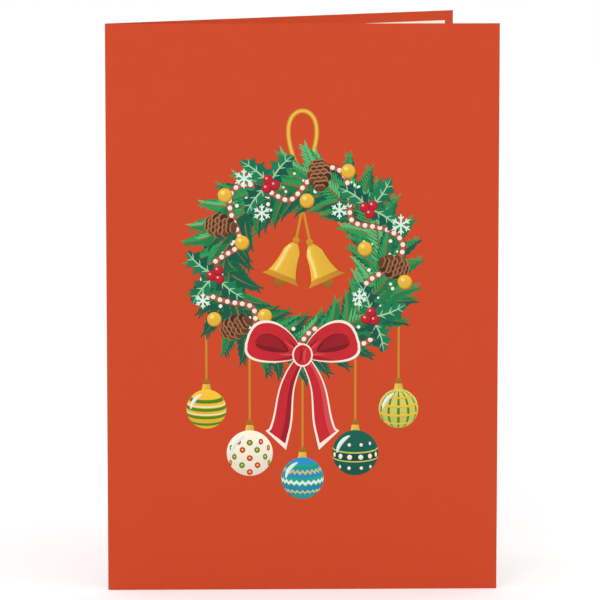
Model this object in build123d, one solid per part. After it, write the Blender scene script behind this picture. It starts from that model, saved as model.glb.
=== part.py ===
from build123d import *
import os
from math import asin, cos, hypot, pi, radians, sin, sqrt, tan

# A pop-up greeting card standing a little open on its bottom edges. Millimetres, +Z up. The front leaf faces -Y with
# the crease at -X, and the origin lies under the middle of the card's box.

# Cover: one sheet of card with a rounded crease
card_height = 178.0
card_width = 122.0  # crease to free edge along a leaf
cover_thickness = 0.40
crease_radius = 0.60  # inside of the crease
opening_angle = 25.0  # degrees between the leaves

# Liner: a thinner sheet glued inside the cover
liner_thickness = 0.25
liner_margin = 3.1  # bare cover round the liner
glue_film = 0.05

# Pop-up tree: two sets of slices that cross as a lattice
slice_thickness = 0.25
slices_beside_middle = 2  # in each set
outer_rim = 6.0  # outermost slices inside the lowest bough tips
slot_clearance = 0.20  # slice to slot on each side
slot_share = 0.60  # of a crossing's height that is cut from below
tree_radius = 34.0  # lowest boughs of the fully opened tree
tier_count = 6
waist_share = 0.74  # neck under a tier against that tier's reach
bough_droop = 2.0  # of the longest boughs, shorter ones less
needle_pitch = 3.0  # of the teeth along a tier's lower edge
needle_depth = 1.2
least_reach = 2.0  # shortest bough that is cut
page_clearance = 1.0  # lowest bough tips to the liner
edge_margin = 6.0  # star tip to the free edges of the closed card
trunk_width = 9.0
root_width = 13.0
leg_width = 7.0
leg_gap = 0.6  # slot to leg
foot_length = 6.0

# Star: a plate on each face of the middle slice's tip
star_radius = 8.0
star_waist = 3.6  # inner corners
star_lift = 3.9  # centre above the tree's tip
star_points = 5
stem_width = 3.0

# Where the leaves and slices stand at this opening
half = radians(opening_angle / 2)
leaf_length = card_width - crease_radius - cover_thickness
page = crease_radius - glue_film - liner_thickness  # liner's face from the crease axis
foot_face = page - glue_film
slice_pitch = (tree_radius - outer_rim) / slices_beside_middle  # between neighbours of one set
anchor = sqrt(2) * slice_pitch  # feet from the crease axis along the page
lean = asin(sin(half) / sqrt(2))  # slice to middle plane, a right angle between the sets when fully open
slot_width = slice_thickness / tan(lean) + 2 * slot_clearance
base_level = anchor * cos(half)
trunk_height = (tree_radius - anchor) * cos(half) + (page_clearance + slice_thickness) / tan(half)
tree_top = leaf_length - edge_margin - anchor - star_radius - star_lift
tier_step = (tree_top - trunk_height) / tier_count


def leaf_point(along, out, side):
    """Point beside a leaf: along it and out from the crease axis, on the back leaf (1) or the front one (-1)."""
    return along * cos(half) - out * sin(half), side * (along * sin(half) + out * cos(half))


def sheet_run(radius, length):
    """One face of a folded sheet: flat leaf, bend round the crease axis, flat leaf."""
    back_end, back_bend = leaf_point(length, radius, 1), leaf_point(0, radius, 1)
    front_end, front_bend = leaf_point(length, radius, -1), leaf_point(0, radius, -1)
    return [
        Line(back_end, back_bend),
        ThreePointArc(back_bend, (-radius, 0), front_bend),
        Line(front_bend, front_end),
    ]


def folded_sheet(inside, thickness, length, height):
    """Sheet folded once round the crease axis, standing on the floor."""
    faces = sheet_run(inside, length) + sheet_run(inside + thickness, length)
    ends = [Line(leaf_point(length, inside, s), leaf_point(length, inside + thickness, s)) for s in (1, -1)]
    return extrude(make_face(faces + ends), height)


def level_of_reach(reach):
    """Level at which the tree's cone is this wide."""
    return tree_top - reach * (tree_top - trunk_height) / tree_radius


def tier(reach, level, peak):
    """One tier of boughs: a drooping lower edge cut into needles, under two slopes."""
    teeth = max(2, round(2 * reach / needle_pitch))
    hem = []
    for k in range(2 * teeth + 1):
        across = k / teeth - 1
        rise = (bough_droop + needle_depth * (k % 2)) * reach / tree_radius
        hem.append((reach * across, level + rise * (1 - across**2)))
    return Polygon(*hem, (0, peak), align=None)


def silhouette(offset):
    """Tiers of a slice that stands offset from the tree's axis, as the round tree is cut there."""
    crown = level_of_reach(offset)
    cone = [tree_radius * (1 - k / tier_count) for k in range(tier_count)]
    reaches = [sqrt(r**2 - offset**2) for r in cone if r > offset + least_reach]
    outline = Sketch()
    for k, reach in enumerate(reaches):
        level, peak = trunk_height + k * tier_step, crown
        if k + 1 < len(reaches):
            peak = min(crown, level + tier_step / (1 - waist_share * reaches[k + 1] / reach))
        outline += tier(reach, level, peak)
    return outline


def slot(order, crossing, from_below):
    """Slot in slice number order for the crossing slice, open at the top or at the bottom."""
    low = trunk_height if order or crossing else 0
    high = level_of_reach(slice_pitch * hypot(order, crossing))
    split = low + slot_share * (high - low)
    floor, ceiling = split - slot_clearance, tree_top + star_radius
    if from_below:
        floor, ceiling = -tree_top, split + slot_clearance
    at = Pos(crossing * slice_pitch, (floor + ceiling) / 2)
    return at * Rectangle(slot_width, ceiling - floor)


def leg_end(beyond):
    """Where the leg's outer face meets the page, so far beyond the crossing: along the page and level."""
    out = (2 * slice_pitch + beyond) * sin(lean) + slice_thickness / 2 * cos(lean)
    along = (out - foot_face * cos(half)) / sin(half)
    return along, leaf_point(along, foot_face, 1)[0] - base_level


def leg():
    """Strip from the boughs to the page, cut along the line where the slice meets the page."""
    near = slot_width / 2 + leg_gap
    far, top = near + leg_width, trunk_height + bough_droop + needle_depth
    corners = [(near, leg_end(near)[1]), (far, leg_end(far)[1]), (far, top), (near, top)]
    return Polygon(*[(slice_pitch + beyond, level) for beyond, level in corners], align=None)


def foot(side):
    """Flap bent from the end of a leg towards the crease, glued to the page on that side."""
    fold = []
    for beyond in (slot_width / 2 + leg_gap, slot_width / 2 + leg_gap + leg_width):
        rise = beyond * cos(lean) - slice_thickness / 2 * sin(lean)
        fold.append(Vector(leg_end(beyond)[0], rise))
    run = (fold[1] - fold[0]).normalized()
    inward = Vector(-run.Y, run.X)
    under, out = inward * -slice_thickness, inward * foot_length
    corners = [fold[0] + under, fold[1] + under, fold[1] + out, fold[0] + out]
    on_page = Plane(
        origin=leaf_point(0, foot_face, side),
        x_dir=(cos(half), side * sin(half), 0),
        z_dir=(sin(half), -side * cos(half), 0),
    )
    flap = on_page * Polygon(*[(c.X, side * c.Y) for c in corners], align=None)
    return extrude(flap, slice_thickness, dir=on_page.z_dir)


def slice_plane(order, way):
    """Upright plane of a slice: its run is the sketch's x, and its level above the tree's foot is the sketch's y."""
    shift = order * slice_pitch
    return Plane(
        origin=(base_level, -way * shift * sin(lean), shift * cos(lean)),
        x_dir=(0, way * sin(lean), cos(lean)),
        z_dir=(0, cos(lean), -way * sin(lean)),
    )


def tree_slice(order, way):
    """Slice of the tree: way 1 has its slots open at the top, way -1 at the bottom."""
    if order > 0:  # the tree looks the same after half a turn about its axis
        return Rot(180, 0, 0) * tree_slice(-order, way)
    outline = silhouette(-order * slice_pitch)
    if order == 0:
        roots, top = root_width / 2, trunk_height + bough_droop + needle_depth
        bark = [(-roots, 0), (roots, 0), (trunk_width / 2, roots), (trunk_width / 2, top)]
        bark += [(-trunk_width / 2, top), (-trunk_width / 2, roots)]
        outline += Polygon(*bark, align=None)
    if order == 0 and way < 0:
        stem_length = tier_step + star_lift
        outline += Pos(0, tree_top + star_lift - stem_length / 2) * Rectangle(stem_width, stem_length)
    if order == -1:
        outline += leg()
    for crossing in range(-slices_beside_middle, slices_beside_middle + 1):
        if hypot(order, crossing) * slice_pitch < tree_radius:
            outline -= slot(order, crossing, way < 0)
    attached = max(outline.faces(), key=lambda face: face.area)  # tips that a slot cuts free fall away
    card = extrude(slice_plane(order, way) * Sketch([attached]), slice_thickness / 2, both=True)
    return card + foot(way) if order == -1 else card


def star(face):
    """Star glued to one face of the middle slice's stem."""
    corners = []
    for k in range(2 * star_points):
        radius, angle = (star_waist if k % 2 else star_radius), pi / 2 + k * pi / star_points
        corners.append((radius * cos(angle), tree_top + star_lift + radius * sin(angle)))
    gap = slice_thickness / 2 + glue_film
    on_face = slice_plane(0, -1).offset(face * (gap + slice_thickness / 2))
    return extrude(on_face * Polygon(*corners, align=None), slice_thickness / 2, both=True)


# Pieces of the card, built with the crease on the Z axis and the middle plane along X
liner_height = card_height - 2 * liner_margin
to_middle = Pos(0, 0, card_height / 2)
pieces = {
    "cover": folded_sheet(crease_radius, cover_thickness, leaf_length, card_height),
    "liner": Pos(0, 0, liner_margin) * folded_sheet(page, liner_thickness, leaf_length - liner_margin, liner_height),
    "star_front": to_middle * star(-1),
    "star_back": to_middle * star(1),
}
for number in range(2 * slices_beside_middle + 1):
    for letter, way in (("a", 1), ("b", -1)):
        pieces[f"tree_slice_{letter}{number + 1}"] = to_middle * tree_slice(number - slices_beside_middle, way)

# Turn the front leaf along X and centre the card's box over the origin
spine = crease_radius + cover_thickness
turn = radians(opening_angle)
depth = leaf_length * sin(turn) + spine * cos(turn)
placing = Pos((spine - leaf_length) / 2, (spine - depth) / 2, 0) * Rot(0, 0, opening_angle / 2)

os.makedirs("parts", exist_ok=True)
for name, piece in pieces.items():
    solid = placing * piece
    solid.label = name
    export_step(solid, f"parts/{name}.step")
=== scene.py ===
import bmesh
import bpy
import numpy as np
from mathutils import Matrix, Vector


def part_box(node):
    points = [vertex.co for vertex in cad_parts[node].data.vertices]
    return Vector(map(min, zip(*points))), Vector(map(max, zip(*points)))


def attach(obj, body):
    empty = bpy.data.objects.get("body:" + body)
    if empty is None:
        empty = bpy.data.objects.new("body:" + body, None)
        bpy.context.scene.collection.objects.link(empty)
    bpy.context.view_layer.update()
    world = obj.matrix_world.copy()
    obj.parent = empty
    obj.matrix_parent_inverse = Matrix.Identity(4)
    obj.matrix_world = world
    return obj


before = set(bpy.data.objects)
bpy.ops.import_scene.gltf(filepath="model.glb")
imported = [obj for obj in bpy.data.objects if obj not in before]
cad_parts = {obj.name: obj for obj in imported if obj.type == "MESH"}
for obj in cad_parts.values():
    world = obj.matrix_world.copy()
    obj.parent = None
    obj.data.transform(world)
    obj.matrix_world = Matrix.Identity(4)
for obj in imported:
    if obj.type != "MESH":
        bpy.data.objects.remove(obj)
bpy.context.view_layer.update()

# Cover: one sheet of smooth orange-red card, 0.4 mm thick and dyed right through, scored and folded once down its left
# side. It stands on the bottom edges of both leaves.
CARD_RED, CUT_EDGE_RED = "#CF4A27", "#B84124"
CLOUD_MM = 8.0  # width of the clouds that pulp settles into
PAPER_SHINE = 0.15


def linear(code):
    """sRGB hex colour as linear RGBA."""
    srgb = np.array([int(code[i : i + 2], 16) for i in (1, 3, 5)]) / 255
    rgb = np.where(srgb <= 0.04045, srgb / 12.92, ((srgb + 0.055) / 1.055) ** 2.4)
    return (*map(float, rgb), 1.0)


def add(graph, kind, inputs=None, **settings):
    """Add a node to a material: settings are its properties, and inputs fill or link its sockets."""
    made = graph.nodes.new(kind)
    for key, value in settings.items():
        setattr(made, key, value)
    for key, value in (inputs or {}).items():
        if isinstance(value, bpy.types.NodeSocket):
            graph.links.new(value, made.inputs[key])
        else:
            made.inputs[key].default_value = value
    return made


def paper(name, code, roughness, mottle, fibre_mm, relief_mm):
    """Pressed pulp, dull and even: clouds and fibres vary the colour by the share mottle, and the fibres also raise the
    surface. Real fibres are some 0.03 mm wide, so fibre_mm is drawn coarse enough to show."""
    material = bpy.data.materials.new(name)
    material.use_nodes = True
    graph = material.node_tree
    shader = graph.nodes["Principled BSDF"]
    shader.inputs["Roughness"].default_value = roughness
    shader.inputs["Specular IOR Level"].default_value = PAPER_SHINE
    place = add(graph, "ShaderNodeTexCoord").outputs["Object"]
    clouds = add(graph, "ShaderNodeTexNoise", {"Vector": place, "Scale": 1000 / CLOUD_MM, "Detail": 2.0})
    fibres = add(graph, "ShaderNodeTexNoise", {"Vector": place, "Scale": 1000 / fibre_mm, "Detail": 3.0})
    both = add(graph, "ShaderNodeMath", {0: clouds.outputs[0], 1: fibres.outputs[0]}, operation="ADD")
    level = add(graph, "ShaderNodeMapRange", {0: both.outputs[0], 1: 0.6, 2: 1.4, 3: 1 - mottle, 4: 1 + mottle})
    shade = add(graph, "ShaderNodeHueSaturation", {"Value": level.outputs[0], "Color": linear(code)}, name="shade")
    bump = add(graph, "ShaderNodeBump", {"Height": fibres.outputs[0], "Strength": 0.5, "Distance": relief_mm / 1000})
    graph.links.new(shade.outputs[0], shader.inputs["Base Color"])
    graph.links.new(bump.outputs[0], shader.inputs["Normal"])
    return material


face_low, face_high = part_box("cover")
card = paper("dyed_card", CARD_RED, 0.7, 0.015, 0.45, 0.01)
# The top and bottom edges are coloured a little darker than the faces.
graph = card.node_tree
facing = add(graph, "ShaderNodeSeparateXYZ", {0: add(graph, "ShaderNodeNewGeometry").outputs["Normal"]})
upright = add(graph, "ShaderNodeMath", {0: facing.outputs["Z"]}, operation="ABSOLUTE")
is_edge = add(graph, "ShaderNodeMath", {0: upright.outputs[0], 1: 0.7}, operation="GREATER_THAN")
edge_or_face = {0: is_edge.outputs[0], 6: linear(CARD_RED), 7: linear(CUT_EDGE_RED)}
stock = add(graph, "ShaderNodeMix", edge_or_face, data_type="RGBA")
graph.links.new(stock.outputs[2], graph.nodes["shade"].inputs["Color"])
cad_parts["cover"].material_slots[0].material = card

# Printed cords: a loop that the wreath hangs by and five strings below it, in gold. All the print on the front is
# offset ink dried into the card's face, colour over colour. Each field stands a hair above the fields that it covers.
MIDDLE, RING_LEVEL = 61.0, 103.0  # wreath's centre: mm from the crease and above the bottom edge
SOAK = 0.02  # mm that the ink sinks into the card
BRUSH_GRID = (3.0, 16.0, 91.0)  # streaks along and across a field, and their shift from ink to ink
CORD_INKS = ["#EBBE48", "#C98A2B"]
CORD_LIGHT, CORD_DARK = range(2)
STRING_WIDTH, CORD_WIDTH, CORD_LIGHT_WIDTH = 0.7, 1.5, 0.8
LOOP_HALF_WIDTH, LOOP_FOOT, LOOP_RISE = 4.4, 129.0, 22.0


def litho_ink(name, inks, fade="X", start=1.0, end=1.0, streaks=0.05):
    """Offset ink, flat and a little less dull than the card: each field's tone picks one of the inks, its lightness
    runs from start to end along (X) or across (Y) the field, and fine brush streaks follow the field."""
    material = paper(name, inks[0], 0.55, 0.02, 0.45, 0.01)
    graph = material.node_tree
    shade = graph.nodes["shade"]
    stroke = add(graph, "ShaderNodeAttribute", attribute_name="stroke").outputs["Vector"]
    part = add(graph, "ShaderNodeSeparateXYZ", {0: stroke})
    choice = add(graph, "ShaderNodeValToRGB", {0: part.outputs["Z"]})
    choice.color_ramp.interpolation = "CONSTANT"
    stops = choice.color_ramp.elements
    stops.remove(stops[1])
    stops[0].color = linear(inks[0])
    for count, code in enumerate(inks[1:], 1):
        stops.new(count / len(inks)).color = linear(code)
    spread = add(graph, "ShaderNodeVectorMath", {0: stroke, 1: BRUSH_GRID}, operation="MULTIPLY")
    brush = add(graph, "ShaderNodeTexNoise", {"Vector": spread.outputs[0], "Scale": 1.0, "Detail": 2.0})
    bristle = add(graph, "ShaderNodeMapRange", {0: brush.outputs[0], 1: 0.3, 2: 0.7, 3: 1 - streaks, 4: 1 + streaks})
    change = add(graph, "ShaderNodeMapRange", {0: part.outputs[fade], 3: start, 4: end})
    grain = shade.inputs["Value"].links[0].from_socket
    once = add(graph, "ShaderNodeMath", {0: grain, 1: bristle.outputs[0]}, operation="MULTIPLY")
    twice = add(graph, "ShaderNodeMath", {0: once.outputs[0], 1: change.outputs[0]}, operation="MULTIPLY")
    graph.links.new(twice.outputs[0], shade.inputs["Value"])
    graph.links.new(choice.outputs[0], shade.inputs["Color"])
    return material


def print_fields(name, batches, ink, inks):
    """Ink fields on the front leaf. A batch holds the two edges of its fields, (fields, stations, 2) in mm from the
    leaf's lower left corner, the ink that each takes and its layer, the height of its face in thousandths of a mm. A
    four-cornered section, from inside the card up to that height, is carried from station to station and closed at both
    ends. Higher fields also reach deeper, so no two share an edge. The attribute stroke keeps each corner's place along
    and across its field, and its ink."""
    points, strokes, faces, first = [], [], [], 0
    for left, right, pick, layer in batches:
        fields, stations = left.shape[:2]
        shape = (fields, stations, 4)
        plan = np.stack([left, left, right, right], 2)
        top = np.broadcast_to(np.reshape(layer, (-1, 1, 1)) / 1000, shape)
        out = np.where([False, True, True, False], top, -SOAK - top / 10)
        place = [face_low.x + plan[..., 0] / 1000, face_low.y - out / 1000, plan[..., 1] / 1000]
        points.append(np.stack(place, -1).reshape(-1, 3))
        along = np.broadcast_to(np.linspace(0, 1, stations)[:, None], shape)
        across = np.broadcast_to([0.0, 0.0, 1.0, 1.0], shape)
        tone = np.broadcast_to((np.reshape(pick, (-1, 1, 1)) + 0.5) / len(inks), shape)
        strokes.append(np.stack([along, across, tone], -1).reshape(-1, 3))
        grid = first + np.arange(plan[..., 0].size).reshape(shape)
        turned = np.roll(grid, -1, 2)
        walls = np.stack([grid[:, :-1], turned[:, :-1], turned[:, 1:], grid[:, 1:]], -1)
        faces += [walls.reshape(-1, 4), grid[:, 0, ::-1], grid[:, -1]]
        first += plan[..., 0].size
    mesh = bpy.data.meshes.new(name)
    mesh.from_pydata(np.concatenate(points).tolist(), [], np.concatenate(faces).tolist())
    stroke = mesh.attributes.new("stroke", "FLOAT_VECTOR", "POINT")
    stroke.data.foreach_set("vector", np.concatenate(strokes).astype(np.float32).ravel())
    shells = bmesh.new()
    shells.from_mesh(mesh)
    bmesh.ops.recalc_face_normals(shells, faces=shells.faces)
    shells.to_mesh(mesh)
    shells.free()
    mesh.materials.append(ink)
    piece = bpy.data.objects.new(name, mesh)
    bpy.context.scene.collection.objects.link(piece)
    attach(piece, "root")


def bands(path, width):
    """Ribbon fields: edges half the width to each side of a path, square to its run."""
    run = np.gradient(path, axis=1)
    side = np.stack([-run[..., 1], run[..., 0]], -1) / np.hypot(run[..., 0], run[..., 1])[..., None]
    off = side * np.asarray(width)[..., None] / 2
    return path + off, path - off


ball = np.array([[31.0, 57.5], [44.5, 43.5], [61.0, 35.5], [77.5, 43.5], [91.0, 57.5]])
ball_radius = np.array([6.2, 7.2, 6.6, 7.2, 6.2])
ball_top = ball + [0, 1] * ball_radius[:, None]
string_top = RING_LEVEL - np.array([17.0, 27.4, 32.0, 27.4, 11.1])  # behind the sprigs
strings = np.stack([np.stack([ball[:, 0], string_top], 1), ball_top], 1)
turn = np.linspace(0, 2 * np.pi, 61)
loop = np.stack([MIDDLE + LOOP_HALF_WIDTH * np.sin(turn), LOOP_FOOT + LOOP_RISE * np.sin(turn / 2)], 1)[None]
print_fields(
    "print_cords",
    [
        (*bands(strings, STRING_WIDTH), np.full(5, CORD_DARK), 4),
        (*bands(loop, CORD_WIDTH), [CORD_DARK], 5),
        (*bands(loop, CORD_LIGHT_WIDTH), [CORD_LIGHT], 6),
    ],
    litho_ink("gold_cord_litho_ink", CORD_INKS),
    CORD_INKS,
)

# Printed baubles: five glass balls on the strings, drawn from a little above in flat inks, each with a gold cap and its
# own pattern of belts, spots or zigzags. A pale gleam lies over the upper left of each. Heights on a ball are shares of
# its radius.
BALL_INKS = ["#F4C137", "#4E8A1F", "#FBF3DC", "#C9343A", "#2A8FC4", "#1FA48A", "#EAF6F2", "#14604F", "#CFCF6A"]
BALL_INKS += ["#EBBE48", "#A86E1E", "#0E4A3E"]
YELLOW, OLIVE, CREAM, SCARLET, BLUE, TEAL, ICE, FOREST, LIME, GOLD, DARK_GOLD, NIGHT = range(12)
BALL_TILT = np.radians(14)


def discs(centre, wide, high=None, stations=24):
    """Round fields: the upper and lower half of an ellipse of the given half width and half height, cut off a little
    short of its ends so that no edge is without length."""
    angle = np.linspace(0.03, np.pi - 0.03, stations)
    wide = np.broadcast_to(np.reshape(wide, (-1, 1)), (len(centre), 1))
    high = wide if high is None else np.reshape(high, (-1, 1))
    out, up = -wide * np.cos(angle), high * np.sin(angle)
    return centre[:, None] + np.stack([out, up], -1), centre[:, None] + np.stack([out, -up], -1)


def leaves(root, tip, width, bow, rise, blunt, edge=None, stations=20):
    """Leaf-shaped fields: a centre line from root to tip, bowed to its left as a parabola, and edges off it by half the
    width times along^rise (1 - along)^blunt, cut by edge, a share that changes along the leaf. Both ends stop a little
    short of their points and are 0.04 mm wide."""
    along = np.linspace(0.002, 0.998, stations)
    run = tip - root
    side = np.stack([-run[:, 1], run[:, 0]], 1) / np.hypot(*run.T)[:, None]
    curve = np.broadcast_to(np.reshape(bow, (-1, 1)), (len(root), 1)) * 4 * along * (1 - along)
    centre = root[:, None] + run[:, None] * along[:, None] + side[:, None] * curve[..., None]
    shape = along**rise * (1 - along) ** blunt
    shape = shape / shape.max() * (edge(along) if edge else 1.0)
    half = np.broadcast_to(0.02 + np.reshape(width, (-1, 1)) / 2 * shape, curve.shape)
    return centre + side[:, None] * half[..., None], centre - side[:, None] * half[..., None]


def on_ball(number, turn, height):
    """Points on a ball seen from above by the tilt: turn is the angle from its front, height is a share of its radius,
    out is the ring's radius by the turn's sine, up is the height less the ring's near side."""
    ring = np.sqrt(1 - np.square(height))
    out, up = ring * np.sin(turn), height * np.cos(BALL_TILT) - ring * np.cos(turn) * np.sin(BALL_TILT)
    return ball[number] + ball_radius[number] * np.stack(np.broadcast_arrays(out, up), -1)


def belts(number, low, high, wave=0.0):
    """Level bands round a ball, from low to high, their edges raised at every other station by the wave."""
    turn = np.linspace(-np.pi / 2, np.pi / 2, 23)
    sway = wave * (np.arange(23) % 2)
    low, high = (np.reshape(level, (-1, 1)) + sway for level in (low, high))
    return on_ball(number, turn, high), on_ball(number, turn, low)


def spots(number, turn, height, radius):
    """Round spots on a ball, narrower towards its sides by the cosine of their turn."""
    return discs(on_ball(number, turn, height), radius * np.cos(turn), np.full(len(turn), radius), 12)


def staves(number, turn, half):
    """Upright bands from pole to pole of a ball, the half width to each side of their turn."""
    height = np.linspace(-0.97, 0.97, 21)
    turn = np.reshape(turn, (-1, 1))
    return on_ball(number, turn - half, height), on_ball(number, turn + half, height)


cap_left = np.stack([ball_top - [1.5, 0.5], ball_top - [1.1, -1.7]], 1)
cap_right = np.stack([ball_top + [1.5, -0.5], ball_top + [1.1, 1.7]], 1)
spot_turn = np.radians([-40, 0, 40, -60, -20, 20, 60, -42, 0, 42, -62, -21, 21, 62, 0])
spot_row = np.repeat([0.66, 0.36, 0.02, -0.33, -0.68], [3, 4, 3, 4, 1])
spot_ink = np.where(np.arange(15) % 2, OLIVE, SCARLET)
belt_spot_turn, pole_spot_turn = np.radians([-64, -40, -14, 14, 40, 64]), np.radians([-50, -18, 18, 50] * 2)
gleam_foot, gleam_top = (ball + ball_radius[:, None] * np.array(way) for way in ([-0.8, 0.0], [-0.22, 0.76]))
print_fields(
    "print_baubles",
    [
        (*discs(ball_top + [0, 2.3], 1.1, np.full(5, 1.1), 16), np.full(5, DARK_GOLD), 6),
        (cap_left, cap_right, np.full(5, GOLD), 7),
        (*discs(ball, ball_radius, stations=40), np.array([YELLOW, CREAM, BLUE, FOREST, LIME]), 9),
        (*belts(0, [-0.7, -0.3, 0.1, 0.5], [-0.54, -0.14, 0.26, 0.66]), np.full(4, OLIVE), 11),
        (*belts(0, [-0.1, 0.3], [-0.04, 0.36]), np.full(2, CREAM), 12),
        (*spots(1, spot_turn, spot_row, 0.95), spot_ink, 11),
        (*spots(1, spot_turn, spot_row, 0.4), np.full(15, GOLD), 12),
        (*belts(2, [-0.22, -0.86, 0.62], [0.24, -0.66, 0.8]), np.full(3, TEAL), 10),
        (*belts(2, [-0.16, -0.62, 0.36], [0.0, -0.5, 0.48], 0.13), np.array([ICE, LIME, LIME]), 11),
        (*belts(3, [-0.14], [0.2]), [NIGHT], 10),
        (*belts(3, [-0.2, 0.2], [-0.14, 0.26]), np.full(2, LIME), 11),
        (*spots(3, belt_spot_turn, np.full(6, 0.03), 0.8), np.full(6, CREAM), 12),
        (*spots(3, pole_spot_turn, np.repeat([0.55, -0.5], 4), 0.55), np.full(8, CREAM), 12),
        (*staves(4, np.radians([-62, -30, 0, 30, 62]), 0.07), np.full(5, OLIVE), 10),
        (*belts(4, [-0.66, -0.2, 0.26, 0.68], [-0.56, -0.08, 0.38, 0.76]), np.full(4, YELLOW), 11),
        (*leaves(gleam_foot, gleam_top, 0.17 * ball_radius, 0.12 * ball_radius, 0.5, 0.5), np.full(5, ICE), 14),
    ],
    litho_ink("bauble_litho_inks", BALL_INKS, "Y", 1.1, 0.8),
    BALL_INKS,
)

# Printed wreath: a ring of fir sprigs in three rows, outer, inner and middle, all pointing the same way round, over a
# dark ring. Each sprig is a saw-edged field of green with a stem and two ranks of needles, overprinted in other greens.
FIR_INKS = ["#0B4638", "#0F5A45", "#146B45", "#1A7A48", "#238B4E"]
NEEDLE_INKS = ["#0F5C44", "#1D8049", "#2E9D57", "#5FBC78", "#8A6A3A"]
RING_SHADE, STEM_BROWN = 0, 4
RING_RADIUS, RING_WIDTH, RING_LAYER = 25.4, 11.4, 20
# Each row: number of sprigs, radius of their roots and of their tips, turn from root to tip, width, bow, number of
# layers that neighbours take in turn and the first of them.
SPRIG_ROWS = [
    (32, 23.5, 36.2, 0.42, 5.4, 1.3, 4, 24),
    (28, 27.5, 16.4, 0.54, 4.8, -1.1, 4, 44),
    (25, 23.5, 29.5, 0.62, 5.2, -0.9, 5, 64),
]
NEEDLES, NEEDLE_WIDTH, STEM_WIDTH = 15, 0.6, 0.55  # needles on each side of a sprig
ROOT_SLANT, SLANT_LOSS = 0.82, 0.42
LIGHT_FROM = np.radians(115)


def heading(angle):
    """Unit vectors at an angle from the bottom edge, anticlockwise."""
    return np.stack([np.cos(angle), np.sin(angle)], -1)


def about_ring(radius, angle):
    """Points at a radius and an angle about the wreath's centre."""
    return [MIDDLE, RING_LEVEL] + np.asarray(radius)[..., None] * heading(angle)


def saw_edge(along):
    """Nine notches to a sprig, each a quarter of its width deep."""
    return 1 - 0.25 * (1 - (9 * along) % 1)


chance = np.random.default_rng(11)
sprigs = []
for count, near, far, sweep, wide, bend, cycle, layer in SPRIG_ROWS:
    angle = 2 * np.pi * np.arange(count) / count + chance.uniform(-0.06, 0.06, count)
    root = about_ring(near + chance.uniform(-0.8, 0.8, count), angle)
    tip = about_ring(far + chance.uniform(-1.1, 1.1, count), angle + sweep)
    layer = layer + 5 * (np.arange(count) % cycle)
    sprigs.append(np.column_stack([root, tip, wide * chance.uniform(0.9, 1.1, count), np.full(count, bend), layer]))
sprigs = np.concatenate(sprigs)
root, tip, wide, bend, layer = sprigs[:, :2], sprigs[:, 2:4], sprigs[:, 4], sprigs[:, 5], sprigs[:, 6]
ring = about_ring(RING_RADIUS, np.linspace(0, 2 * np.pi, 121))[None]
green = chance.integers(1, 5, len(sprigs))
print_fields(
    "print_boughs",
    [
        (*bands(ring, RING_WIDTH), [RING_SHADE], RING_LAYER),
        (*leaves(root, tip, wide, bend, 0.8, 0.62, saw_edge, 64), green, layer),
    ],
    litho_ink("fir_green_litho_inks", FIR_INKS, "X", 0.7, 1.12, 0.08),
    FIR_INKS,
)
# Needles leave the stem slanted to the tip and grow shorter towards it. Those that lean to the light are the lighter
# ones, and one rank stands a little above the other where they meet.
run = tip - root
reach = np.hypot(*run.T)
way = np.arctan2(run[:, 1], run[:, 0])
step = np.linspace(0.06, 0.96, NEEDLES)
stem = root[:, None] + run[:, None] * step[:, None]
stem = stem + heading(way + np.pi / 2)[:, None] * (bend[:, None] * 4 * step * (1 - step))[..., None]
needles = []
for sign in (1, -1):
    slant = way[:, None] + sign * (ROOT_SLANT - SLANT_LOSS * step)
    length = 0.95 * wide[:, None] * (1.0 - 0.5 * step) * (1 + 0.14 * np.sin(37 * step + reach[:, None]))
    point = stem + length[..., None] * heading(slant)
    tone = 1.15 + 1.5 * np.cos(slant - LIGHT_FROM) + 0.35 * (green[:, None] - 2.5)
    tone = np.clip(np.round(tone), 0, 3)
    field = leaves(stem.reshape(-1, 2), point.reshape(-1, 2), NEEDLE_WIDTH, 0, 0.45, 0.8, stations=6)
    needles.append((*field, tone, layer[:, None] + 1.2 - 0.2 * sign + np.arange(NEEDLES) % 2))
stems = leaves(root, tip, STEM_WIDTH, bend, 0.3, 0.9, stations=14)
needles.append((*stems, np.full(len(root), STEM_BROWN), layer + 3))
print_fields("print_needles", needles, litho_ink("needle_green_litho_inks", NEEDLE_INKS), NEEDLE_INKS)

# Printed garland: a rose-brown cord that weaves in and out round the ring, strung with cream beads. It is printed over
# the sprigs, with a darker cord a little wider under it that shows as its shade.
GARLAND_INKS = ["#B5604A", "#8E4638", "#FBEBDA"]
GARLAND_ROSE, GARLAND_SHADE, BEAD_CREAM = range(3)
WEAVE_RADIUS, WEAVE_SWAY, WEAVES = 26.2, 5.6, 6
GARLAND_WIDTH, GARLAND_SHADE_WIDTH = 1.4, 1.9
BEAD_PITCH, BEAD_RADIUS = 2.35, 0.74
turn = np.linspace(0, 2 * np.pi, 361)
weave = about_ring(WEAVE_RADIUS + WEAVE_SWAY * np.sin(WEAVES * turn + 0.4), turn)
travel = np.concatenate([[0], np.cumsum(np.hypot(*np.diff(weave, axis=0).T))])
at = np.arange(0, travel[-1] - 1.5, BEAD_PITCH)
bead = np.stack([np.interp(at, travel, weave[:, 0]), np.interp(at, travel, weave[:, 1])], 1)
print_fields(
    "print_garland",
    [
        (*bands(weave[None], GARLAND_SHADE_WIDTH), [GARLAND_SHADE], 92),
        (*bands(weave[None], GARLAND_WIDTH), [GARLAND_ROSE], 94),
        (*discs(bead, BEAD_RADIUS, stations=10), np.full(len(bead), BEAD_CREAM), 96),
    ],
    litho_ink("rose_brown_litho_inks", GARLAND_INKS, "Y", 1.04, 0.9),
    GARLAND_INKS,
)

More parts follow.
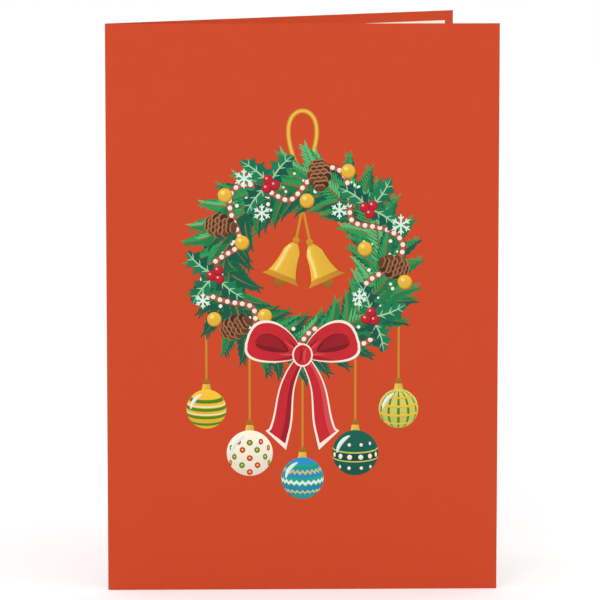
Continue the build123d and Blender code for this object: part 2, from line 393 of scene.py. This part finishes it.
# Printed cones: four fir cones of brown scales over a dark core. The scales are printed from the tip of the cone to its
# stem, three to a row, each as a light lip with a darker face on it. The rows swell as a sine to the cone's middle.
CONE_INKS = ["#4A2A1C", "#6B4029", "#A9764B", "#3A1F15"]
SCALE_LIP, CONE_CORE = 2, 3
CONE_RING, CONE_LENGTH, CONE_WIDTH = 23.5, 10.4, 6.4
SCALE_ROWS, ROW_PITCH, TIP_ROW, ROW_SWELL = 8, 1.12, 9.2, 3.1
cone_angle = np.radians([76, 150, 226, 2])
cone_foot = about_ring(CONE_RING, cone_angle)
cone_way = cone_angle + np.radians([20, 25, -15, -20])
row, column = (part.ravel() for part in np.meshgrid(np.arange(SCALE_ROWS), np.arange(-1, 2), indexing="ij"))
down = TIP_ROW - ROW_PITCH * row
swell = ROW_SWELL * np.sin(np.pi * (0.16 + 0.72 * row / (SCALE_ROWS - 1)))
aside = swell * (column + 0.5 * (row % 2) - 0.25) * 0.66
axis, square = heading(cone_way)[:, None], heading(cone_way + np.pi / 2)[:, None]
lip = (cone_foot[:, None] + axis * down[:, None] + square * aside[:, None]).reshape(-1, 2)
scale = (cone_foot[:, None] + axis * (down[:, None] - 0.4) + square * aside[:, None]).reshape(-1, 2)
scale_radius = np.tile(0.75 + 0.2 * swell, 4)
scale_layer = np.tile(98 + 0.9 * row + 0.3 * (column + 1), 4)
core = leaves(cone_foot, cone_foot + CONE_LENGTH * axis[:, 0], CONE_WIDTH, 0, 0.55, 0.5)
print_fields(
    "print_cones",
    [
        (*core, np.full(4, CONE_CORE), 97),
        (*discs(lip, scale_radius, stations=12), np.full(len(lip), SCALE_LIP), scale_layer),
        (*discs(scale, scale_radius * 0.92, stations=12), np.tile(row % 2, 4), scale_layer + 0.45),
    ],
    litho_ink("cone_brown_litho_inks", CONE_INKS, "Y", 1.06, 0.86),
    CONE_INKS,
)

# Printed holly: four sprays of three spiny leaves, one half of each leaf lighter, with pale ribs, and three crimson
# berries over the place where the leaves meet. The berries have a dark rim and a small pink gleam.
HOLLY_INKS = ["#0E5A4A", "#1C7F57", "#A8D8A0", "#147050"]
LEAF_DARK, LEAF_LIGHT, RIB_PALE, LEAF_MIDDLE = range(4)
BERRY_INKS = ["#C3202E", "#8E1524", "#F3A7A0"]
BERRY_RED, BERRY_RIM, BERRY_GLEAM = range(3)
SPRAY_RING, LEAF_LENGTH, LEAF_WIDTH = 27.0, 11.6, 7.6
RIB_WIDTH, VEIN_WIDTH, VEIN_LENGTH = 0.5, 0.3, 2.0
BERRY_OFFSET, BERRY_RADIUS, RIM_WIDTH = 1.55, 1.6, 0.2


def spines(along):
    """Four hollows to a leaf's edge, half its width deep, with spines between them."""
    return 1 - 0.5 * np.abs(np.sin(np.pi * 4 * along))


spray_angle = np.radians([40, 112, 187, 322])
spray = about_ring(SPRAY_RING, spray_angle)
leaf_way = (spray_angle[:, None] + np.radians([[-75, 15, 105]]) + 0.25 * np.arange(4)[:, None]).ravel()
leaf_root = np.repeat(spray, 3, 0)
leaf_tip = leaf_root + LEAF_LENGTH * heading(leaf_way)
leaf_bow = np.tile([0.9, -0.7, -0.9], 4)
leaf_layer = 110 + np.tile([0, 3, 6], 4)
leaf_left, leaf_right = leaves(leaf_root, leaf_tip, LEAF_WIDTH, leaf_bow, 0.5, 0.55, spines, 65)
vein_at = np.linspace(0.25, 0.75, 3)
vein_root = leaf_root[:, None] + (leaf_tip - leaf_root)[:, None] * vein_at[:, None]
vein_bow = (leaf_bow[:, None] * 4 * vein_at * (1 - vein_at))[..., None]
vein_root = vein_root + heading(leaf_way + np.pi / 2)[:, None] * vein_bow
veins = []
for sign in (1, -1):
    vein_tip = vein_root + VEIN_LENGTH * heading(leaf_way + sign * 0.8)[:, None]
    field = leaves(vein_root.reshape(-1, 2), vein_tip.reshape(-1, 2), VEIN_WIDTH, 0, 0.3, 0.8, stations=6)
    veins.append((*field, np.full(36, RIB_PALE), np.repeat(leaf_layer + 1.5 - 0.2 * sign, 3)))
print_fields(
    "print_holly",
    [
        (leaf_left, leaf_right, np.tile([LEAF_DARK, LEAF_MIDDLE, LEAF_DARK], 4), leaf_layer),
        (leaf_left, (leaf_left + leaf_right) / 2, np.full(12, LEAF_LIGHT), leaf_layer + 1),
        (*leaves(leaf_root, leaf_tip, RIB_WIDTH, leaf_bow, 0.3, 0.8), np.full(12, RIB_PALE), leaf_layer + 2),
        *veins,
    ],
    litho_ink("holly_green_litho_inks", HOLLY_INKS, "X", 0.85, 1.08, 0.06),
    HOLLY_INKS,
)
berry_way = spray_angle[:, None] + np.radians([[0, 120, 240]])
berry = (spray[:, None] + BERRY_OFFSET * heading(berry_way)).reshape(-1, 2)
berry_layer = 120 + np.tile([0, 2, 4], 4)
print_fields(
    "print_berries",
    [
        (*discs(berry, BERRY_RADIUS), np.full(12, BERRY_RIM), berry_layer),
        (*discs(berry + [-0.12, 0.14], BERRY_RADIUS - RIM_WIDTH), np.full(12, BERRY_RED), berry_layer + 0.6),
        (*discs(berry + [-0.5, 0.55], 0.38, stations=10), np.full(12, BERRY_GLEAM), berry_layer + 1.2),
    ],
    litho_ink("crimson_litho_inks", BERRY_INKS, "Y", 1.05, 0.9),
    BERRY_INKS,
)

# Printed bells: two gold bells on cords inside the ring, each with a darker lip, clapper and crown and a pale gleam,
# and eight small gold balls round the ring. The cords are printed under the sprigs and the rest over them.
GOLD_INKS = ["#EFBC3C", "#D0922A", "#FBE08A", "#A86E1E"]
BELL_GOLD, BELL_SHADE, BELL_GLEAM, CLAPPER_BROWN = range(4)
BELL_LENGTH, BELL_CORD_TOP, BELL_CORD_WIDTH = 12.6, 121.0, 0.8
CLAPPER_FALL, CLAPPER_RADIUS, CROWN_RADIUS, SMALL_RADIUS = 13.2, 1.7, 1.1, 2.3


def bells(mouth_way, crown, length):
    """Bell fields: a half width that starts round, widens as along^2.2 and flares at the lip, carried from the crown
    along a straight axis."""
    along = np.linspace(0, 1, 30)
    half = length * (0.2 * np.sqrt(np.clip(along / 0.25, 0, 1)) + 0.2 * along**2.2 + 0.1 * along**14)
    line = crown[:, None] + heading(mouth_way)[:, None] * (length * along)[:, None]
    off = heading(mouth_way + np.pi / 2)[:, None] * (half + 0.02)[:, None]
    return line - off, line + off


crown = np.array([[58.8, 110.0], [63.4, 109.4]])
mouth_way = np.radians([-112, -66])
bell_axis, bell_side = heading(mouth_way), heading(mouth_way + np.pi / 2)
bell_left, bell_right = bells(mouth_way, crown, BELL_LENGTH)
bell_layer = np.array([112, 120])
gleam = (bell_left + 0.2 * (bell_right - bell_left))[:, 3:25]
gleam_left, gleam_right = (gleam + sign * 0.5 * bell_side[:, None] for sign in (-1, 1))
bell_cord = np.stack([np.broadcast_to([MIDDLE, BELL_CORD_TOP], (2, 2)), crown], 1)
small = about_ring(np.tile([32.4, 20.0], 4), np.radians([64, 86, 138, 160, 212, 234, 350, 14]))
print_fields(
    "print_gold",
    [
        (*bands(bell_cord, BELL_CORD_WIDTH), np.full(2, BELL_SHADE), [21, 22.5]),
        (*discs(crown + CLAPPER_FALL * bell_axis, CLAPPER_RADIUS), np.full(2, CLAPPER_BROWN), bell_layer - 2),
        (bell_left, bell_right, np.full(2, BELL_GOLD), bell_layer),
        (bell_left[:, 25:], bell_right[:, 25:], np.full(2, BELL_SHADE), bell_layer + 1),
        (gleam_left, gleam_right, np.full(2, BELL_GLEAM), bell_layer + 1),
        (*discs(crown - 0.6 * bell_axis, CROWN_RADIUS), np.full(2, BELL_SHADE), bell_layer + 2),
        (*discs(small, SMALL_RADIUS), np.full(8, BELL_SHADE), 117),
        (*discs(small + [-0.12, 0.15], SMALL_RADIUS - 0.25), np.full(8, BELL_GOLD), 118),
        (*discs(small + [-0.7, 0.75], 0.62, stations=12), np.full(8, BELL_GLEAM), 119),
    ],
    litho_ink("gold_litho_inks", GOLD_INKS, "Y", 1.06, 0.84),
    GOLD_INKS,
)

# Printed bow: a crimson ribbon tied at the foot of the ring, with cream edges, two loops that show their dark insides,
# folds that run to the knot and two tails cut on the slant. It is printed last, over the wreath and its ornaments.
BOW_INKS = ["#C72730", "#FBE9D8", "#9C1A26", "#DA4A4C", "#7E1420"]
RIBBON, RIBBON_EDGE, RIBBON_SHADE, RIBBON_LIGHT, RIBBON_HOLLOW = range(5)
TAIL_FALL, TAIL_SPREAD, TAIL_SLANT = 27.0, 9.5, 1.6
LOOP_END, HOLLOW_END, HOLLOW_START = (17.5, 5.2), (14.6, 4.6), (4.2, 1.2)  # mm beside and above the knot
LOOP_WIDTH, EDGE_WIDTH, HOLLOW_WIDTH, INSIDE_WIDTH, FOLD_WIDTH = 13.4, 0.7, 5.4, 3.6, 0.7
KNOT_WIDE, KNOT_HIGH, KNOT_EDGE = 3.2, 3.7, 0.5
FOLDS = [(34, 8.5, RIBBON_SHADE), (-24, 9.5, RIBBON_SHADE), (24, 7.0, RIBBON_LIGHT), (-12, 7.5, RIBBON_LIGHT)]
knot = np.array([[MIDDLE, 74.5]])
fall = np.linspace(0, 1, 30)
tails, loops = [], []
for sign in (1, -1):
    path = knot + np.stack([sign * (TAIL_SPREAD * fall + 1.3 * np.sin(5.2 * fall)), -TAIL_FALL * fall], 1)
    left, right = bands(path[None], (2.4 + 4.6 * fall**0.7)[None])
    slant = [0, 1] * (TAIL_SLANT * sign * np.clip(fall - 0.9, 0, 1) / 0.1)[:, None]
    left, right = left + slant, right - slant
    inner_left, inner_right = (0.9 * left + 0.1 * right)[:, :-1], (0.1 * left + 0.9 * right)[:, :-1]
    lit_right = 0.35 * inner_left + 0.65 * ((left + right) / 2)[:, :-1]
    tails += [
        (left, right, [RIBBON_EDGE], 130 + sign),
        (inner_left, inner_right, [RIBBON], 132 + sign),
        (inner_left, lit_right, [RIBBON_LIGHT if sign > 0 else RIBBON_SHADE], 134 + sign),
    ]
    end, hollow, near = (knot + [[sign * out, up]] for out, up in (LOOP_END, HOLLOW_END, HOLLOW_START))
    inner_end, inside = end - [[EDGE_WIDTH * sign, 0.2]], near + [[sign, 0.2]]
    loops += [
        (*leaves(knot, end, LOOP_WIDTH, sign, 0.75, 0.34, stations=40), [RIBBON_EDGE], 138),
        (*leaves(knot, inner_end, LOOP_WIDTH - 2 * EDGE_WIDTH, sign, 0.75, 0.34, stations=40), [RIBBON], 139),
        (*leaves(near, hollow, HOLLOW_WIDTH, 0.7 * sign, 0.8, 0.45, stations=30), [RIBBON_HOLLOW], 140),
        (*leaves(inside, hollow, INSIDE_WIDTH, 1.3 * sign, 0.8, 0.45, stations=30), [RIBBON_SHADE], 141),
    ]
    for count, (angle, length, pick) in enumerate(FOLDS):
        fold = knot + length * heading(np.radians(angle + 14)) * [sign, 1]
        loops.append((*leaves(knot, fold, FOLD_WIDTH, 0, 0.3, 0.9, stations=10), [pick], 142 + 0.4 * count))
print_fields(
    "print_bow",
    [
        *tails,
        *loops,
        (*discs(knot, KNOT_WIDE, [KNOT_HIGH]), [RIBBON_EDGE], 144),
        (*discs(knot, KNOT_WIDE - KNOT_EDGE, [KNOT_HIGH - KNOT_EDGE]), [RIBBON], 145),
        (*leaves(knot + [[-1.2, -2.6]], knot + [[-0.6, 2.6]], FOLD_WIDTH, -0.5, 0.5, 0.6), [RIBBON_SHADE], 146),
        (*leaves(knot + [[0.7, -2.4]], knot + [[1.2, 2.2]], FOLD_WIDTH, 0.4, 0.5, 0.6), [RIBBON_LIGHT], 146),
    ],
    litho_ink("ribbon_crimson_litho_inks", BOW_INKS, "X", 0.96, 1.04, 0.06),
    BOW_INKS,
)

# Printed snow: six flakes of six arms in mint white, over the wreath's ornaments, each arm with two barbs that fork off
# half way, and a scatter of cream dots that lies over the sprigs and under the garland.
SNOW_INKS = ["#DDF5E8", "#FBF6E3"]
MINT, SNOW_CREAM = range(2)
ARM_WIDTH, BARB_WIDTH, BARB_SHARE, FORK_SHARE, FORK_ANGLE = 0.55, 0.45, 0.36, 0.52, 0.85
DOTS = 70
flake = about_ring(np.array([33.0, 20.5, 32.5, 20.5, 33.0, 20.5]), np.radians([22, 56, 124, 128, 200, 330]))
flake_size = np.array([3.4, 2.8, 3.2, 2.9, 2.6, 2.6])
arm = np.radians(np.arange(30, 390, 60))
arm_root = np.repeat(flake, 6, 0)
arm_run = (flake_size[:, None, None] * heading(arm)).reshape(-1, 2)
arms = leaves(arm_root, arm_root + arm_run, ARM_WIDTH, 0, 0.3, 0.4, stations=8)
snow = [(*arms, np.full(36, MINT), 128 + np.tile([0, 0.7, 1.4], 12))]
for sign in (1, -1):
    barb = BARB_SHARE * np.repeat(flake_size, 6)[:, None] * heading(np.tile(arm, 6) + sign * FORK_ANGLE)
    fork = arm_root + FORK_SHARE * arm_run
    barbs = leaves(fork, fork + barb, BARB_WIDTH, 0, 0.3, 0.4, stations=8)
    snow.append((*barbs, np.full(36, MINT), 126 + 0.6 * sign))
dot = about_ring(chance.uniform(18.5, 31.2, DOTS), chance.uniform(0, 2 * np.pi, DOTS))
dots = discs(dot, chance.uniform(0.3, 0.62, DOTS), stations=10)
snow.append((*dots, np.full(DOTS, SNOW_CREAM), 88 + 0.05 * np.arange(DOTS)))
print_fields("print_snow", snow, litho_ink("mint_white_litho_inks", SNOW_INKS, streaks=0.02), SNOW_INKS)

# Liner: one sheet of white uncoated paper, folded with the cover and glued inside it, 3 mm in from its edges. Wove
# paper has no coat, so it is rougher than the card and without any sheen. Its cream tint is partly the paper's own
# warmth and partly painted warm bounce light from the red card.
liner = paper("white_wove_paper", "#FFF4E6", 0.85, 0.015, 0.5, 0.02)
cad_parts["liner"].material_slots[0].material = liner

# Tree slices: ten pieces of white card, printed on both faces, cut by a laser and half-lapped into each other, that
# open out with the leaves. They are green with streaks of needles and small gold and cream dots, and brown on the trunk
# and the legs.
BOUGH_INKS = ["#14643A", "#1F8A4C", "#46B070"]
TRUNK_INK, GOLD_DOT, CREAM_DOT, SINGED_CORE = "#5A3524", "#EBBE48", "#FBF3DC", "#BBB692"
CREASE = Vector((face_low.x + 0.001, face_low.y + 0.001, (face_low.z + face_high.z) / 2))  # middle of the fold's axis
HALF_OPENING = np.radians(12.5)  # of the angle between the leaves
OUTWARD = Vector((np.cos(HALF_OPENING), np.sin(HALF_OPENING), 0.0))  # between the leaves, away from the crease
TRUNK_END = 0.0388  # from the crease to the lowest boughs, m
STREAK_WIDE, STREAK_LONG, DROOP = 0.0008, 0.005, np.radians(30)  # m
SCATTER_MM, DOT_SHARE = 6.0, 0.14
slice_card = paper("laser_cut_card", BOUGH_INKS[1], 0.7, 0.03, 0.4, 0.012)
graph = slice_card.node_tree
place = add(graph, "ShaderNodeTexCoord").outputs["Object"]
from_crease = add(graph, "ShaderNodeVectorMath", {0: place, 1: CREASE}, operation="SUBTRACT").outputs[0]
reach_out = add(graph, "ShaderNodeVectorMath", {0: from_crease, 1: OUTWARD}, operation="DOT_PRODUCT").outputs["Value"]
is_bough = add(graph, "ShaderNodeMath", {0: reach_out, 1: TRUNK_END}, operation="GREATER_THAN").outputs[0]
# Needles droop from the tree's axis to both sides. Real ones are finer, so the streaks are drawn coarse enough to show.
beside = add(graph, "ShaderNodeSeparateXYZ", {0: from_crease}).outputs["Z"]
beside = add(graph, "ShaderNodeMath", {0: beside}, operation="ABSOLUTE").outputs[0]
one_side = add(graph, "ShaderNodeCombineXYZ", {0: reach_out, 1: beside}).outputs[0]
drooping = {"Vector": one_side, "Rotation": (0, 0, DROOP), "Scale": (STREAK_WIDE, STREAK_LONG, 1)}
drooping = add(graph, "ShaderNodeMapping", drooping, vector_type="TEXTURE").outputs[0]
streak = add(graph, "ShaderNodeTexNoise", {"Vector": drooping, "Scale": 1.0, "Detail": 1.0}).outputs[0]
boughs = add(graph, "ShaderNodeValToRGB", {0: streak})
stops = boughs.color_ramp.elements
stops.new(0.48)
for stop, share, code in zip(stops, (0.3, 0.48, 0.68), BOUGH_INKS):
    stop.position, stop.color = share, linear(code)
trunk_or_bough = {0: is_bough, 6: linear(TRUNK_INK), 7: boughs.outputs[0]}
ground = add(graph, "ShaderNodeMix", trunk_or_bough, data_type="RGBA").outputs[2]
# Dots about 1.6 mm across, one to each cell of the scatter, half of them gold.
scatter = add(graph, "ShaderNodeTexVoronoi", {"Vector": place, "Scale": 1000 / SCATTER_MM})
is_dot = add(graph, "ShaderNodeMath", {0: scatter.outputs[0], 1: DOT_SHARE}, operation="LESS_THAN").outputs[0]
is_dot = add(graph, "ShaderNodeMath", {0: is_dot, 1: is_bough}, operation="MULTIPLY").outputs[0]
toss = add(graph, "ShaderNodeSeparateColor", {0: scatter.outputs["Color"]}).outputs[0]
is_gold = add(graph, "ShaderNodeMath", {0: toss, 1: 0.5}, operation="GREATER_THAN").outputs[0]
cream_or_gold = {0: is_gold, 6: linear(CREAM_DOT), 7: linear(GOLD_DOT)}
dot_ink = add(graph, "ShaderNodeMix", cream_or_gold, data_type="RGBA").outputs[2]
printed = add(graph, "ShaderNodeMix", {0: is_dot, 6: ground, 7: dot_ink}, data_type="RGBA").outputs[2]
# The laser bares the card's white core along each cut and singes it to a pale tan. A cut lies square to the print.
to_leaf = Vector((-OUTWARD.y, OUTWARD.x, 0.0))
normal = add(graph, "ShaderNodeNewGeometry").outputs["Normal"]
facing = add(graph, "ShaderNodeVectorMath", {0: normal, 1: to_leaf}, operation="DOT_PRODUCT").outputs["Value"]
facing = add(graph, "ShaderNodeMath", {0: facing}, operation="ABSOLUTE").outputs[0]
is_cut = add(graph, "ShaderNodeMath", {0: facing, 1: 0.5}, operation="LESS_THAN").outputs[0]
print_or_core = {0: is_cut, 6: printed, 7: linear(SINGED_CORE)}
shown = add(graph, "ShaderNodeMix", print_or_core, data_type="RGBA").outputs[2]
graph.links.new(shown, graph.nodes["shade"].inputs["Color"])
for name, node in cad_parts.items():
    if name.startswith("tree_slice"):
        node.material_slots[0].material = slice_card

# Stars: two plates of gold card, cut to five points and glued to both faces of the tip of the tree. The card is
# smoother than the rest, so it catches a soft light.
star_card = paper("gold_card", "#EDBE45", 0.4, 0.04, 0.4, 0.01)
for name in ("star_front", "star_back"):
    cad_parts[name].material_slots[0].material = star_card

# Floor: a plain sweep of matt white paper under the card. It keeps the card's shadow, and only the camera sees it
# lifted to white.
FLOOR_HALF, FLOOR_GREY, FLOOR_LIFT = 8.0, 0.8, 0.275
sweep = bpy.data.meshes.new("floor")
corners = FLOOR_HALF * np.array([(-1, -1, 0), (1, -1, 0), (1, 1, 0), (-1, 1, 0)])
sweep.from_pydata(corners.tolist(), [], [(0, 1, 2, 3)])
floor = bpy.data.objects.new("floor", sweep)
bpy.context.scene.collection.objects.link(floor)
floor_white = bpy.data.materials.new("white_sweep_paper")
floor_white.use_nodes = True
graph = floor_white.node_tree
shader = graph.nodes["Principled BSDF"]
shader.inputs["Base Color"].default_value = (FLOOR_GREY, FLOOR_GREY, FLOOR_GREY, 1)
shader.inputs["Roughness"].default_value = 0.9
shader.inputs["Specular IOR Level"].default_value = 0.0
seen = add(graph, "ShaderNodeLightPath").outputs["Is Camera Ray"]
lift = add(graph, "ShaderNodeMath", {0: seen, 1: FLOOR_LIFT}, operation="MULTIPLY")
shader.inputs["Emission Color"].default_value = (1, 1, 1, 1)
graph.links.new(lift.outputs[0], shader.inputs["Emission Strength"])
sweep.materials.append(floor_white)

# Studio light: an even white surround, a soft box above the front left and a weaker one low at the right. The first
# throws the soft shadow beside the free edges, and the second lights the inside of the back leaf.
SURROUND = 0.9
LAMP_TARGET = Vector((0, 0, 0.08))
world = bpy.data.worlds.new("studio")
bpy.context.scene.world = world
world.use_nodes = True
graph = world.node_tree
ray = add(graph, "ShaderNodeLightPath").outputs
direct = add(graph, "ShaderNodeMath", {0: ray["Is Camera Ray"], 1: ray["Is Glossy Ray"]}, operation="MAXIMUM")
either = {0: direct.outputs[0], 1: ray["Is Transmission Ray"]}
looking = add(graph, "ShaderNodeMath", either, operation="MAXIMUM")
strength = add(graph, "ShaderNodeMapRange", {0: looking.outputs[0], 3: SURROUND, 4: 1.0})
graph.links.new(strength.outputs[0], graph.nodes["Background"].inputs["Strength"])
graph.nodes["Background"].inputs["Color"].default_value = (1, 1, 1, 1)
for name, size, energy, stand in (
    ("soft_box", 1.2, 8.5, (-0.6, -1.9, 1.2)),
    ("side_box", 1.0, 2.5, (1.6, -0.4, 0.9)),
):
    lamp = bpy.data.lights.new(name, "AREA")
    lamp.shape, lamp.size, lamp.energy = "SQUARE", size, energy
    box = bpy.data.objects.new(name, lamp)
    box.location = stand
    box.rotation_mode = "QUATERNION"
    box.rotation_quaternion = (LAMP_TARGET - box.location).to_track_quat("-Z", "Y")
    bpy.context.scene.collection.objects.link(box)

# Camera: a long lens, a little above the card and to the left of its middle, as the photograph's perspective gives it.
# Its pitch is down from level, and its pan is to the right of the card's depth.
PITCH, PAN = np.radians(8.1658), np.radians(1.2269)
lens = bpy.data.cameras.new("camera")
lens.sensor_width, lens.lens = 36.0, 265.51
camera = bpy.data.objects.new("camera", lens)
camera.location = (-0.02998, -1.39009, 0.28754)
aim = Vector((np.sin(PAN) * np.cos(PITCH), np.cos(PAN) * np.cos(PITCH), -np.sin(PITCH)))
camera.rotation_mode = "QUATERNION"
camera.rotation_quaternion = aim.to_track_quat("-Z", "Y")
bpy.context.scene.collection.objects.link(camera)
bpy.context.scene.camera = camera
bpy.context.scene.view_settings.view_transform = "Standard"
